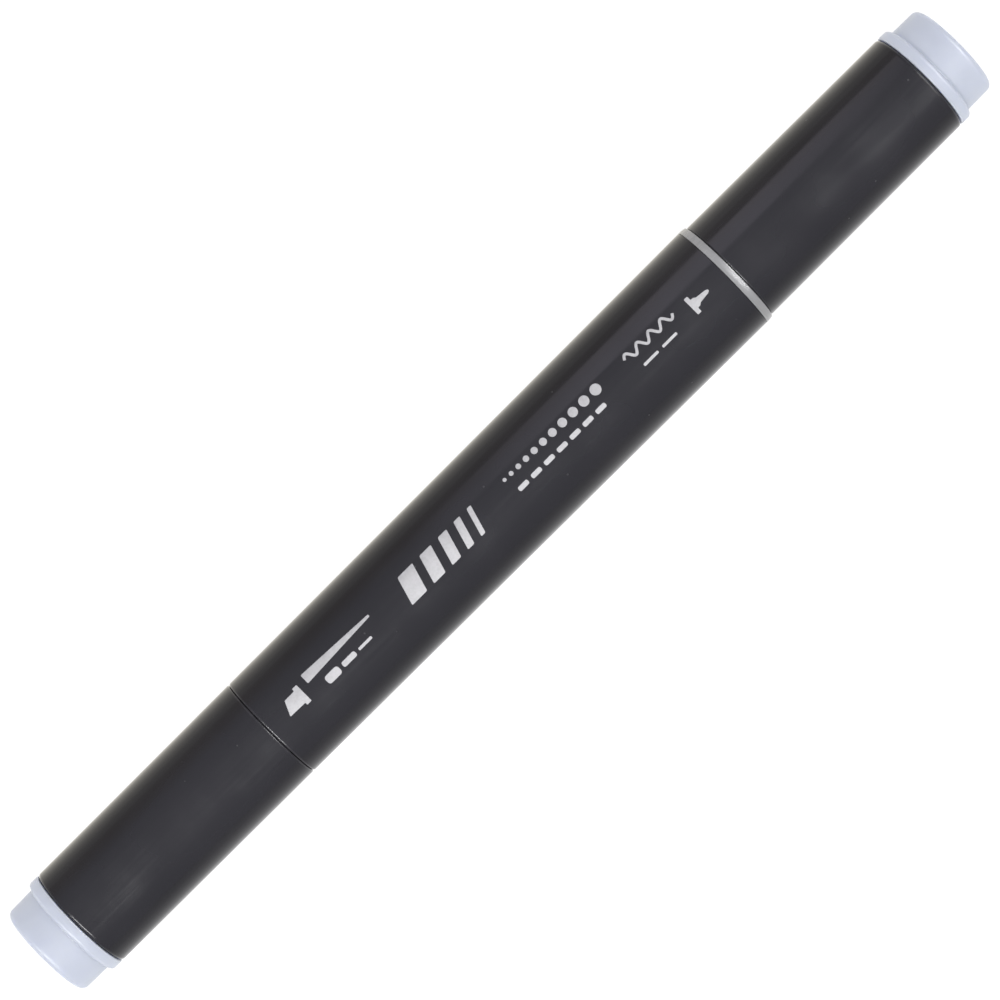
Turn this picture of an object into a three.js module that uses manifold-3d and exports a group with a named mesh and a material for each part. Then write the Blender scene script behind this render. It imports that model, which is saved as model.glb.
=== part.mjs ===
// A twin-tip felt marker: a barrel holding an ink reservoir, a chisel nib at one end, a fine nib at
// the other, and a snap-on cap over each. All sizes are millimetres.
//
// The marker lies on its side: +X runs from the chisel end to the fine end, +Z is up, and the origin
// is under the middle of its length, on the surface that it lies on. Most pieces are turned shapes,
// drawn as profiles of [radius, station] points and swept round the marker's own axis. Stations are
// places along that axis, counted from the middle of the marker. At each end a profile is easier to
// read as a distance out from the shoulder where the cap stops, so both ends share their shapes.
import * as THREE from "three";
import { mergeVertices } from "three/addons/utils/BufferGeometryUtils.js";
import Module from "manifold-3d";

const wasm = await Module();
wasm.setup();

// ---- Driving dimensions ----
const OVERALL_LENGTH = 150;
const BARREL_RADIUS_CHISEL = 7.07; // where the chisel cap meets the barrel
const BARREL_RADIUS_FINE = 7.33; // at the ring, the widest place of the marker
const RING_WIDTH = 1.03;
const CAP_LENGTH = 31.45;
const CAP_RADIUS_MOUTH = 7.07;
const CAP_RADIUS_TOP = 6.98;
const FLANGE_THICKNESS = 1.4;
const FLANGE_RADIUS = 6.98;
const FLANGE_ROUNDING = 0.35;
const HEAD_LENGTH = 4.1;
const HEAD_RADIUS_FOOT = 6.34;
const HEAD_RADIUS_END = 6.28;
const HEAD_ROUNDING = 0.8;
const WALL = 1.0; // moulded wall, except where a size below says otherwise
const LIP = 0.2; // rounding on the moulded rims
const LEAD_IN = 0.3; // chamfer that leads a spigot or a seal into its bore
const SEAM = 0.15; // the fine line left where two pieces butt
const PRESS_GAP = 0.05; // between pieces that are pressed together
const FIT_GAP = 0.07; // between the mouldings that go into a cap shell
const PLAY = 0.3; // room past the end of a piece inside a hollow
const OVERSHOOT = 1; // how far a cutting shape runs past what it cuts

const NECK_RADIUS = 6.2; // the stub that a cap slides over, at both ends of the barrel
const NECK_LENGTH = 7.0;
const NECK_BORE = 5.2;
const BEAD_RADIUS = 6.27; // snap bead round the neck
const BEAD_LENGTH = 1.0;
const BEAD_SLOPE = 0.2;
const BEAD_INSET = 1.4; // from the end of the neck
const COLLAR_LENGTH = 8.3; // from the cap's stop to the step down to the seal land
const SEAL_RADIUS = 4.9; // land on each nose that the inner cap seals on
const SEAL_END = 13.0;

const LEDGE_DEPTH = 2.4; // where the neck's bore opens out to the reservoir's, in from the shoulder
const LEDGE_SLOPE = 0.8;
const RESERVOIR_BORE = 6.0;
const FIBRE_RADIUS = 5.6;
const FILM_WALL = 0.15;
const SOCKET_DEPTH = 5.2; // how far a nib's tail goes into the fibre
const SOCKET_GAP = 0.1;

const CHISEL_WIDTH = 6.2;
const CHISEL_THICKNESS = 4.2;
const CHISEL_CORNER = 0.5; // rounding along the bar
const CHISEL_EDGE = 1.5; // thickness left at the writing edge
const CHISEL_TIP = 25.4; // outermost corner of the slanted edge, from the shoulder
const CHISEL_SLANT = 3.5; // how much further in the short corner is
const CHISEL_BEVEL = 5.0; // length of the bevel on each face
const CHISEL_SPIGOT = 1.6; // how far the nose reaches in past the shoulder
const CHISEL_TAPER = 2.0;
const CHISEL_NOSE_RADIUS = 4.15;
const CHISEL_NOSE_ROUNDING = 0.5;
const CHISEL_NOSE_END = 17.0;

const RING_ROUNDING = 0.35;
const FINE_SPIGOT = 6.5;
const FINE_CAVITY_END = 5.1; // where the spigot's hollow starts to close on the nib
const FINE_GRIP_START = 9.8; // where the bore grips the nib
const FINE_CONE_RADIUS = 2.4; // the nose's cone ends here, in a step down to the tip tube
const FINE_TUBE_RADIUS = 1.8;
const FINE_TUBE_FOOT = 1.95;
const FINE_TUBE_LENGTH = 2.3;
const FINE_TUBE_ROUNDING = 0.25;
const FINE_NOSE_END = 20.4;
const FINE_RADIUS = 1.1;
const FINE_POINT_RADIUS = 0.5;
const FINE_POINT_TILT = 12; // degrees at which the cone runs into the round point
const FINE_SHANK = 0.5; // straight stretch that shows before the cone
const FINE_TIP = 23.6;
const FINE_TAIL_CHAMFER = 0.15;

const CAP_BORE = 6.34;
const CAP_UPPER_BORE = 6.05;
const CAP_LEDGE_RADIUS = 5.4; // inside step that stops the inner cap
const CAP_LEDGE_START = 8.6;
const CAP_LEDGE_STEP = 0.8; // run of its slope, and of the land after it
const CUP_RADIUS = 5.05;
const CUP_BORE = 4.35;
const CUP_SEAL_WALL = 0.65;
const CUP_TAPER_START = 13.6;
const CUP_TAPER = 1.8;
const CUP_TAPER_LAG = 0.2; // how much later the inside tapers than the outside
const CUP_TOP = 0.8; // thickness of the closed end
const CUP_ROUNDING = 0.6;
const CUP_END = 31.4;
const SKIRT_START = 24.2;
const PLUG_TOP = 1.2;
const PLUG_CORNER = 0.6; // inside the closed end
const PLUG_GAP = 0.15; // round the cup

const SEGMENTS = 32; // facets round every turned piece; one of them faces straight down
const ARC_STEPS = 3;

// ---- Stations along the axis ----
const END = OVERALL_LENGTH / 2;
const CAP_TOP = END - HEAD_LENGTH - FLANGE_THICKNESS - SEAM;
const CAP_MOUTH = CAP_TOP - CAP_LENGTH;
const FINE_SHOULDER = CAP_MOUTH - SEAM; // outer face of the ring
const BARREL_FINE_END = FINE_SHOULDER - RING_WIDTH;
const CHISEL_SHOULDER = -FINE_SHOULDER; // the barrel's own end face
const AXIS_HEIGHT = BARREL_RADIUS_FINE * Math.cos(Math.PI / SEGMENTS);
const RESERVOIR_START = CHISEL_SHOULDER + LEDGE_DEPTH + LEDGE_SLOPE + PLAY;
const RESERVOIR_END = BARREL_FINE_END - FINE_SPIGOT - PLAY;

// Distances out from a cap's shoulder, the same at both ends.
const OUT_MOUTH = SEAM;
const OUT_TOP = SEAM + CAP_LENGTH;
const OUT_FLANGE = OUT_TOP + SEAM;
const OUT_HEAD = OUT_FLANGE + FLANGE_THICKNESS;
const OUT_END = OUT_HEAD + HEAD_LENGTH;
const CUP_START = CAP_LEDGE_START + 2 * CAP_LEDGE_STEP + FIT_GAP;

// ---- Making solids ----

// Points of a quarter-circle-like arc from one angle to another, in degrees, both ends included.
function arc(radius, station, size, fromDegrees, toDegrees, steps = ARC_STEPS) {
  const points = [];
  for (let i = 0; i <= steps; i++) {
    const angle = THREE.MathUtils.degToRad(fromDegrees + ((toDegrees - fromDegrees) * i) / steps);
    points.push([radius + size * Math.cos(angle), station + size * Math.sin(angle)]);
  }
  return points;
}

// Sweeps a profile round the axis. It runs along the outside towards +X and back along the inside,
// so a hollow piece closes on itself and a solid one starts and ends on the axis.
function turned(profile, hollow = true) {
  const points = profile.map(([radius, station]) => new THREE.Vector2(radius, station));
  if (hollow) points.push(points[0].clone());
  const geometry = new THREE.LatheGeometry(points, SEGMENTS, Math.PI / SEGMENTS);
  return geometry.rotateZ(-Math.PI / 2); // the lathe's own axis is Y
}

// Turns a profile given outwards from a cap's shoulder into stations at one end of the marker.
// At the chisel end the stations run the other way, so the profile is read backwards.
function atEnd(end, profile) {
  if (end === "fine") return profile.map(([radius, out]) => [radius, FINE_SHOULDER + out]);
  return profile.map(([radius, out]) => [radius, CHISEL_SHOULDER - out]).reverse();
}

function solidFrom(geometry) {
  const bare = geometry.clone();
  bare.deleteAttribute("normal");
  bare.deleteAttribute("uv");
  const merged = mergeVertices(bare, 1e-4);
  const vertProperties = new Float32Array(merged.attributes.position.array);
  const triVerts = new Uint32Array(merged.index.array);
  return new wasm.Manifold(new wasm.Mesh({ numProp: 3, vertProperties, triVerts }));
}

function geometryFrom(solid) {
  const mesh = solid.getMesh();
  const geometry = new THREE.BufferGeometry();
  geometry.setAttribute("position", new THREE.BufferAttribute(mesh.vertProperties, 3));
  geometry.setIndex(new THREE.BufferAttribute(mesh.triVerts, 1));
  geometry.computeVertexNormals();
  return geometry;
}

// A flat outline of [first, second] points, extruded by depth and centred on the axis.
function slab(outline, depth) {
  const shape = new THREE.Shape(outline.map(([first, second]) => new THREE.Vector2(first, second)));
  const geometry = new THREE.ExtrudeGeometry(shape, { depth, bevelEnabled: false });
  return geometry.translate(0, 0, -depth / 2);
}

// ---- Materials ----
function material(color, roughness, options = {}) {
  return new THREE.MeshStandardMaterial({ color, roughness, metalness: 0, ...options });
}

const BLACK_PLASTIC = material(0x2c2c30, 0.28);
const GREY_PLASTIC = material(0x9d9d9d, 0.35);
const TINTED_PLASTIC = material(0xd5dcea, 0.35);
const NATURAL_PLASTIC = material(0xe8e8e4, 0.45);
const INKED_FELT = material(0xaab4c8, 0.9);
const INKED_FIBRE = material(0xb4bed0, 0.95);
const CLEAR_FILM = material(0xdfe3e8, 0.2, { transparent: true, opacity: 0.6 });

// ---- Barrel ----

// The outside of a neck with its snap bead, from a shoulder out to where the neck ends. The chisel
// end's stations fall as they go out, so the direction turns them round.
function neckOutside(shoulder, direction) {
  const beadEnd = NECK_LENGTH - BEAD_INSET;
  const outwards = [
    [NECK_RADIUS, 0],
    [NECK_RADIUS, beadEnd - BEAD_LENGTH - BEAD_SLOPE],
    [BEAD_RADIUS, beadEnd - BEAD_LENGTH],
    [BEAD_RADIUS, beadEnd],
    [NECK_RADIUS, beadEnd + BEAD_SLOPE],
  ];
  const placed = outwards.map(([radius, out]) => [radius, shoulder + direction * out]);
  return direction > 0 ? placed : placed.reverse();
}

// A tapered tube, open at the ring end. At the chisel end it steps down to a neck for the cap.
function barrel() {
  const shoulder = CHISEL_SHOULDER;
  const neckEnd = shoulder - NECK_LENGTH;
  const ledge = shoulder + LEDGE_DEPTH;
  return turned([
    [NECK_BORE, neckEnd],
    ...arc(NECK_RADIUS - LIP, neckEnd + LIP, LIP, -90, 0, 2),
    ...neckOutside(shoulder, -1),
    ...arc(BARREL_RADIUS_CHISEL - LIP, shoulder + LIP, LIP, -90, 0, 2),
    ...arc(BARREL_RADIUS_FINE - LIP / 2, BARREL_FINE_END - LIP / 2, LIP / 2, 0, 90, 1),
    [RESERVOIR_BORE, BARREL_FINE_END],
    [RESERVOIR_BORE, ledge + LEDGE_SLOPE],
    [NECK_BORE, ledge],
  ]);
}

// ---- Ink reservoir ----

// A rod of bonded fibre with a blind socket at each end for a nib's tail.
function reservoirFibre() {
  const chiselSocket = Math.hypot(CHISEL_WIDTH, CHISEL_THICKNESS) / 2 + SOCKET_GAP;
  const fineSocket = FINE_RADIUS + SOCKET_GAP;
  return turned(
    [
      [0, RESERVOIR_START + SOCKET_DEPTH],
      [chiselSocket, RESERVOIR_START + SOCKET_DEPTH],
      [chiselSocket, RESERVOIR_START],
      [FIBRE_RADIUS, RESERVOIR_START],
      [FIBRE_RADIUS, RESERVOIR_END],
      [fineSocket, RESERVOIR_END],
      [fineSocket, RESERVOIR_END - SOCKET_DEPTH],
      [0, RESERVOIR_END - SOCKET_DEPTH],
    ],
    false,
  );
}

// The film sleeve wrapped round the fibre.
function reservoirFilm() {
  const inner = FIBRE_RADIUS + PRESS_GAP;
  const outer = inner + FILM_WALL;
  return turned([
    [inner, RESERVOIR_START],
    [outer, RESERVOIR_START],
    [outer, RESERVOIR_END],
    [inner, RESERVOIR_END],
  ]);
}

// ---- Chisel end ----

// A tube of rounded-rectangle section along the axis, from one station to another.
function chiselBar(width, thickness, corner, fromStation, toStation) {
  const halfWidth = width / 2 - corner;
  const halfThickness = thickness / 2 - corner;
  const outline = [
    [halfWidth, halfThickness, 0],
    [-halfWidth, halfThickness, 90],
    [-halfWidth, -halfThickness, 180],
    [halfWidth, -halfThickness, 270],
  ].flatMap(([across, up, turn]) => arc(across, up, corner, turn, turn + 90, 2));
  const bar = slab(outline, toStation - fromStation);
  // The outline's first axis becomes Y and its second Z, with the extrusion along X.
  bar.applyMatrix4(new THREE.Matrix4().set(0, 0, 1, 0, 1, 0, 0, 0, 0, 1, 0, 0, 0, 0, 0, 1));
  return bar.translate((fromStation + toStation) / 2, 0, 0);
}

// The nose that grips the chisel nib. Its spigot is pressed into the barrel's neck.
function chiselSection() {
  const spigot = NECK_BORE - PRESS_GAP;
  const flangeInner = NECK_LENGTH + PRESS_GAP;
  const rounding = CHISEL_NOSE_ROUNDING;
  const body = turned(
    atEnd("chisel", [
      [0, -CHISEL_SPIGOT],
      [spigot - LEAD_IN, -CHISEL_SPIGOT],
      [spigot, LEAD_IN - CHISEL_SPIGOT],
      [spigot, flangeInner],
      [NECK_RADIUS, flangeInner],
      ...arc(NECK_RADIUS - LIP, COLLAR_LENGTH - LIP, LIP, 0, 90, 2),
      [SEAL_RADIUS, COLLAR_LENGTH],
      [SEAL_RADIUS, SEAL_END],
      [CHISEL_NOSE_RADIUS, SEAL_END + CHISEL_TAPER],
      ...arc(CHISEL_NOSE_RADIUS - rounding, CHISEL_NOSE_END - rounding, rounding, 0, 90, 2),
      [0, CHISEL_NOSE_END],
    ]),
    false,
  );
  const slot = chiselBar(
    CHISEL_WIDTH + 2 * PRESS_GAP,
    CHISEL_THICKNESS + 2 * PRESS_GAP,
    CHISEL_CORNER + PRESS_GAP,
    CHISEL_SHOULDER - CHISEL_NOSE_END - OVERSHOOT,
    CHISEL_SHOULDER + CHISEL_SPIGOT + OVERSHOOT,
  );
  return geometryFrom(solidFrom(body).subtract(solidFrom(slot)));
}

// A bar of felt. Its end is cut slantwise across the width, and bevelled on both faces down to the
// writing edge. One wedge, drawn from the side and leaned over to the slant, does both.
function chiselNib() {
  const tail = RESERVOIR_START + SOCKET_DEPTH - PLAY;
  const longCorner = CHISEL_SHOULDER - CHISEL_TIP;
  const middleOfEdge = longCorner + CHISEL_SLANT / 2;
  const beyondTail = tail + CHISEL_SLANT;
  const bar = chiselBar(CHISEL_WIDTH, CHISEL_THICKNESS, CHISEL_CORNER, longCorner - OVERSHOOT, tail);
  const wedge = slab(
    [
      [beyondTail, CHISEL_THICKNESS],
      [middleOfEdge + CHISEL_BEVEL, CHISEL_THICKNESS / 2],
      [middleOfEdge, CHISEL_EDGE / 2],
      [middleOfEdge, -CHISEL_EDGE / 2],
      [middleOfEdge + CHISEL_BEVEL, -CHISEL_THICKNESS / 2],
      [beyondTail, -CHISEL_THICKNESS],
    ],
    2 * CHISEL_WIDTH,
  ).rotateX(Math.PI / 2);
  const lean = new THREE.Matrix4();
  lean.elements[4] = CHISEL_SLANT / CHISEL_WIDTH; // x grows with y
  wedge.applyMatrix4(lean);
  return geometryFrom(solidFrom(bar).intersect(solidFrom(wedge)));
}

// ---- Fine end ----

// The nose for the fine nib, in one piece with the neck and the ring. It plugs the open barrel end.
function fineSection() {
  const spigot = RESERVOIR_BORE - PRESS_GAP;
  const spigotEnd = -RING_WIDTH - FINE_SPIGOT;
  const ringInner = -RING_WIDTH + PRESS_GAP;
  const bore = FINE_RADIUS + PRESS_GAP;
  const tubeStart = FINE_NOSE_END - FINE_TUBE_LENGTH;
  const tubeEdge = FINE_TUBE_RADIUS - FINE_TUBE_ROUNDING;
  return turned([
    ...atEnd("fine", [
      [spigot - WALL, spigotEnd],
      [spigot - LEAD_IN, spigotEnd],
      [spigot, spigotEnd + LEAD_IN],
      [spigot, ringInner],
      [BARREL_RADIUS_FINE, ringInner],
      ...arc(BARREL_RADIUS_FINE - RING_ROUNDING, -RING_ROUNDING, RING_ROUNDING, 0, 90),
    ]),
    ...neckOutside(FINE_SHOULDER, 1),
    ...atEnd("fine", [
      ...arc(NECK_RADIUS - LIP, COLLAR_LENGTH - LIP, LIP, 0, 90, 2),
      [SEAL_RADIUS, COLLAR_LENGTH],
      [SEAL_RADIUS, SEAL_END],
      [FINE_CONE_RADIUS, tubeStart - LEAD_IN],
      [FINE_TUBE_FOOT, tubeStart],
      ...arc(tubeEdge, FINE_NOSE_END - FINE_TUBE_ROUNDING, FINE_TUBE_ROUNDING, 0, 90, 2),
      [bore, FINE_NOSE_END],
      [bore, FINE_GRIP_START],
      [spigot - WALL, FINE_CAVITY_END],
    ]),
  ]);
}

// A straight felt rod with a coned, round-ended point.
function fineNib() {
  const point = arc(0, FINE_TIP - FINE_POINT_RADIUS, FINE_POINT_RADIUS, FINE_POINT_TILT, 90);
  point[point.length - 1][0] = 0; // the last one lies on the axis
  const tail = RESERVOIR_END - SOCKET_DEPTH + PLAY - FINE_SHOULDER;
  return turned(
    atEnd("fine", [
      [0, tail],
      [FINE_RADIUS - FINE_TAIL_CHAMFER, tail],
      [FINE_RADIUS, tail + FINE_TAIL_CHAMFER],
      [FINE_RADIUS, FINE_NOSE_END + FINE_SHANK],
      ...point,
    ]),
    false,
  );
}

// ---- Caps, the same three mouldings at both ends ----

// The outer shell, open at both ends. A ledge inside stops the inner cap.
function capShell(end) {
  const landStart = CAP_LEDGE_START + CAP_LEDGE_STEP;
  const landEnd = landStart + CAP_LEDGE_STEP;
  return turned(
    atEnd(end, [
      [CAP_BORE, OUT_MOUTH],
      ...arc(CAP_RADIUS_MOUTH - LIP, OUT_MOUTH + LIP, LIP, -90, 0, 2),
      ...arc(CAP_RADIUS_TOP - LIP, OUT_TOP - LIP, LIP, 0, 90, 2),
      [CAP_UPPER_BORE, OUT_TOP],
      [CAP_UPPER_BORE, landEnd],
      [CAP_LEDGE_RADIUS, landEnd],
      [CAP_LEDGE_RADIUS, landStart],
      [CAP_BORE, CAP_LEDGE_START],
    ]),
  );
}

// The inner cap: a cup that closes on the nose's seal land and keeps the nib from drying out.
function innerCap(end) {
  const flange = CAP_UPPER_BORE - FIT_GAP;
  const seal = SEAL_RADIUS + FIT_GAP;
  const sealOutside = seal + CUP_SEAL_WALL;
  const taperEnd = CUP_TAPER_START + CUP_TAPER;
  const inside = CUP_END - CUP_TOP;
  return turned(
    atEnd(end, [
      [seal + LEAD_IN, CUP_START],
      [flange, CUP_START],
      [flange, CUP_START + WALL],
      [sealOutside, CUP_START + WALL],
      [sealOutside, CUP_TAPER_START],
      [CUP_RADIUS, taperEnd],
      ...arc(CUP_RADIUS - CUP_ROUNDING, CUP_END - CUP_ROUNDING, CUP_ROUNDING, 0, 90, 2),
      [0, CUP_END],
      [0, inside],
      [CUP_BORE - LEAD_IN, inside],
      [CUP_BORE, inside - LEAD_IN],
      [CUP_BORE, taperEnd + CUP_TAPER_LAG],
      [seal, CUP_TAPER_START + CUP_TAPER_LAG],
      [seal, CUP_START + LEAD_IN],
    ]),
  );
}

// The tinted end plug: a skirt pressed into the shell, a flange that covers its rim and a hollow
// head of smaller diameter that the other cap can be pushed onto.
function capPlug(end) {
  const skirt = CAP_UPPER_BORE - FIT_GAP;
  const cavity = CUP_RADIUS + PLUG_GAP;
  const inside = OUT_END - PLUG_TOP;
  return turned(
    atEnd(end, [
      [cavity, SKIRT_START],
      [skirt - LEAD_IN, SKIRT_START],
      [skirt, SKIRT_START + LEAD_IN],
      [skirt, OUT_FLANGE],
      ...arc(FLANGE_RADIUS - LIP / 2, OUT_FLANGE + LIP / 2, LIP / 2, -90, 0, 1),
      ...arc(FLANGE_RADIUS - FLANGE_ROUNDING, OUT_HEAD - FLANGE_ROUNDING, FLANGE_ROUNDING, 0, 90),
      [HEAD_RADIUS_FOOT, OUT_HEAD],
      ...arc(HEAD_RADIUS_END - HEAD_ROUNDING, OUT_END - HEAD_ROUNDING, HEAD_ROUNDING, 0, 90),
      [0, OUT_END],
      [0, inside],
      [cavity - PLUG_CORNER, inside],
      [cavity, inside - PLUG_CORNER],
    ]),
  );
}

// ---- Assembly ----
const marker = new THREE.Group();
marker.position.z = AXIS_HEIGHT;

function add(name, geometry, look) {
  const mesh = new THREE.Mesh(geometry, look);
  mesh.name = name;
  marker.add(mesh);
}

add("barrel", barrel(), BLACK_PLASTIC);
add("reservoir_fibre", reservoirFibre(), INKED_FIBRE);
add("reservoir_film", reservoirFilm(), CLEAR_FILM);
add("chisel_section", chiselSection(), GREY_PLASTIC);
add("chisel_nib", chiselNib(), INKED_FELT);
add("fine_section", fineSection(), GREY_PLASTIC);
add("fine_nib", fineNib(), INKED_FELT);
for (const end of ["chisel", "fine"]) {
  add(`${end}_cap_shell`, capShell(end), BLACK_PLASTIC);
  add(`${end}_inner_cap`, innerCap(end), NATURAL_PLASTIC);
  add(`${end}_cap_plug`, capPlug(end), TINTED_PLASTIC);
}

export default marker;
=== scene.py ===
# The looks of a twin-tip felt marker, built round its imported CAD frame.
#
# The marker lies along X: the chisel end at -X, the fine end at +X, the printed side up. Turned
# pieces are swept round the marker's own axis from profiles of (radius, station, rounding), written
# in millimetres and turned into metres when the mesh is made. At each end stations are written as
# distances out from the shoulder where the cap stops, so that both ends share their shapes.
import math

import bmesh
import bpy
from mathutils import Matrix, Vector


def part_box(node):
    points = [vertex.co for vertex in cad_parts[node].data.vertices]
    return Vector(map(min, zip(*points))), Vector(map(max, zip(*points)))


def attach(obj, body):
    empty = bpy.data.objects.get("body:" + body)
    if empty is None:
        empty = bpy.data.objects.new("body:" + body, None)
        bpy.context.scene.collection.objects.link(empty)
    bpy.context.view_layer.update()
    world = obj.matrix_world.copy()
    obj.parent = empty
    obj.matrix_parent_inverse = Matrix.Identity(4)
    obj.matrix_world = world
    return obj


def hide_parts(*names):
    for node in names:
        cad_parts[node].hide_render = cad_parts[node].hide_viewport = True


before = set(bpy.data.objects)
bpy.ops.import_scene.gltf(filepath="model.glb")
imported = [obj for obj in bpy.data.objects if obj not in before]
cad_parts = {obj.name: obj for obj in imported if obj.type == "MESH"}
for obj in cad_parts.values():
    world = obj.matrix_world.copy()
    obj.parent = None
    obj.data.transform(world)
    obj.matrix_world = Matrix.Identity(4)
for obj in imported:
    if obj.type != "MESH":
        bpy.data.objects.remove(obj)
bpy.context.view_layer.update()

MM = 0.001

# ---- Places and sizes, in millimetres, from the frame and the part's own dimensions ----


def station_span(node):
    """Lowest and highest station of a CAD node along the axis."""
    low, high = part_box(node)
    return low[0] / MM, high[0] / MM


FRAME_LOW, FRAME_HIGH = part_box("fine_section")
AXIS_HEIGHT = (FRAME_LOW[2] + FRAME_HIGH[2]) / 2 / MM
CAP_MOUTH, CAP_TOP = station_span("fine_cap_shell")
END = station_span("fine_cap_plug")[1]
RESERVOIR_START, RESERVOIR_END = station_span("reservoir_fibre")
CHISEL_TAIL = station_span("chisel_nib")[1]
FINE_TAIL = station_span("fine_nib")[0]
CUP_LOW, CUP_HIGH = station_span("fine_inner_cap")
SKIRT_LOW = station_span("fine_cap_plug")[0]

CAD_SEAM = 0.15
SHOULDER = CAP_MOUTH - CAD_SEAM  # where the caps stop, at the same distance from the middle at both ends
SEAM = 0.03  # the real joints close tighter than the solids do
PRESS_GAP = 0.05  # between pieces that are pressed together
FIT_GAP = 0.07  # between the mouldings that go into a cap shell

# Roundings of edges, from ones that read as sharp to broad ones, and then of some places.
CRISP_EDGE = 0.03
CLOSE_EDGE = 0.05
FINE_EDGE = 0.1
EDGE = 0.15
SOFT_EDGE = 0.2
FULL_EDGE = 0.25
BROAD_EDGE = 0.3
LEAD_IN = 0.3  # leads a spigot or a seal into its bore
RIM = 0.25  # of the black rims where a cap meets its shoulder
TOP_RIM = 0.5  # of a cap's black rim beside its plug

RING_WIDTH = 1.03
RING_SLOPE = 0.55  # length of the ring's face that slopes down towards the cap
RING_DROP = 0.085
RING_BEND = 1.2  # rounding where the slope begins
BARREL_RADIUS_CHISEL = 7.07
BARREL_RADIUS_FINE = 7.33
NECK_RADIUS = 6.2
NECK_LENGTH = 7.0
NECK_BORE = 5.2
BEAD_RADIUS = 6.27
BEAD_START = 4.6  # out from the shoulder
BEAD_LENGTH = 1.0
BEAD_SLOPE = 0.2
COLLAR_LENGTH = 8.3
SEAL_RADIUS = 4.9
SEAL_END = 13.0

LEDGE_DEPTH = 2.4  # where the neck's bore opens out to the reservoir's, in from the shoulder
LEDGE_SLOPE = 0.8
RESERVOIR_BORE = 6.0
FIBRE_RADIUS = 5.6
FILM_WALL = 0.15
SOCKET_DEPTH = 5.2
SOCKET_GAP = 0.1

CHISEL_WIDTH = 6.2
CHISEL_THICKNESS = 4.2
CHISEL_CORNER = 0.3  # rounding along the bar
CHISEL_EDGE = 1.5
CHISEL_TIP = 25.4
CHISEL_SLANT = 3.5
CHISEL_BEVEL = 5.0
CHISEL_SPIGOT = 1.6
CHISEL_TAPER = 2.0
CHISEL_NOSE_FOOT = 4.2
CHISEL_NOSE_RADIUS = 4.15
CHISEL_NOSE_ROUNDING = 0.5
CHISEL_NOSE_END = 17.0

FINE_SPIGOT = 6.5
FINE_SPIGOT_WALL = 1.0
FINE_CAVITY_END = 5.1
FINE_GRIP_START = 9.8
FINE_CONE_RADIUS = 2.4
FINE_CONE_END = 17.8
FINE_CONE_FOOT_ROUNDING = 0.4
FINE_TUBE_START = 18.1
FINE_TUBE_FOOT = 1.95
FINE_TUBE_RADIUS = 1.8
FINE_LIP = 0.08  # rounding of the bore's mouth
FINE_NOSE_END = 20.4
FINE_RADIUS = 1.1
FINE_SHANK = 0.5  # straight stretch that shows before the cone
FINE_POINT_RADIUS = 0.42
FINE_POINT_ROUNDING = 0.38
FINE_TIP = 23.6

CAP_RADIUS_MOUTH = 7.07
CAP_RADIUS_TOP = 6.98
CAP_BORE = 6.34
CAP_UPPER_BORE = 6.05
CAP_LEDGE_RADIUS = 5.4
CAP_LEDGE_START = 8.6
CAP_LEDGE_STEP = 0.8
CUP_RADIUS = 5.05
CUP_BORE = 4.35
CUP_FLANGE = 1.0
CUP_SEAL_WALL = 0.65
CUP_TAPER_START = 13.6
CUP_TAPER_END = 15.4
CUP_TAPER_LAG = 0.2
CUP_TOP = 0.8
CUP_CORNER = 0.4
CUP_ROUNDING = 0.6
FLANGE_RADIUS = 6.98
FLANGE_ROUNDING = 0.5
HEAD_LENGTH = 4.1
HEAD_RADIUS_FOOT = 6.34
HEAD_RADIUS_END = 6.28
HEAD_FOOT_ROUNDING = 0.12
HEAD_ROUNDING = 0.75
DIMPLE_RADIUS = 1.1  # mark of the moulding gate in the plug's end
DIMPLE_SLOPE = 0.2
DIMPLE_DEPTH = 0.18
PLUG_TOP = 1.2
PLUG_CORNER = 0.6
PLUG_GAP = 0.15  # round the cup

# Distances out from a cap's shoulder.
OUT_TOP = CAP_TOP - SHOULDER
OUT_FLANGE = OUT_TOP + SEAM
OUT_END = END - SHOULDER
OUT_HEAD = OUT_END - HEAD_LENGTH
OUT_SKIRT = SKIRT_LOW - SHOULDER
CUP_START = CUP_LOW - SHOULDER
CUP_END = CUP_HIGH - SHOULDER

TURNS = 144  # facets round a turned piece
ARC_STEPS = 6  # flats in a rounded corner
SHARP = math.radians(35)  # edges that bend more than this stay crisp


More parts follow.
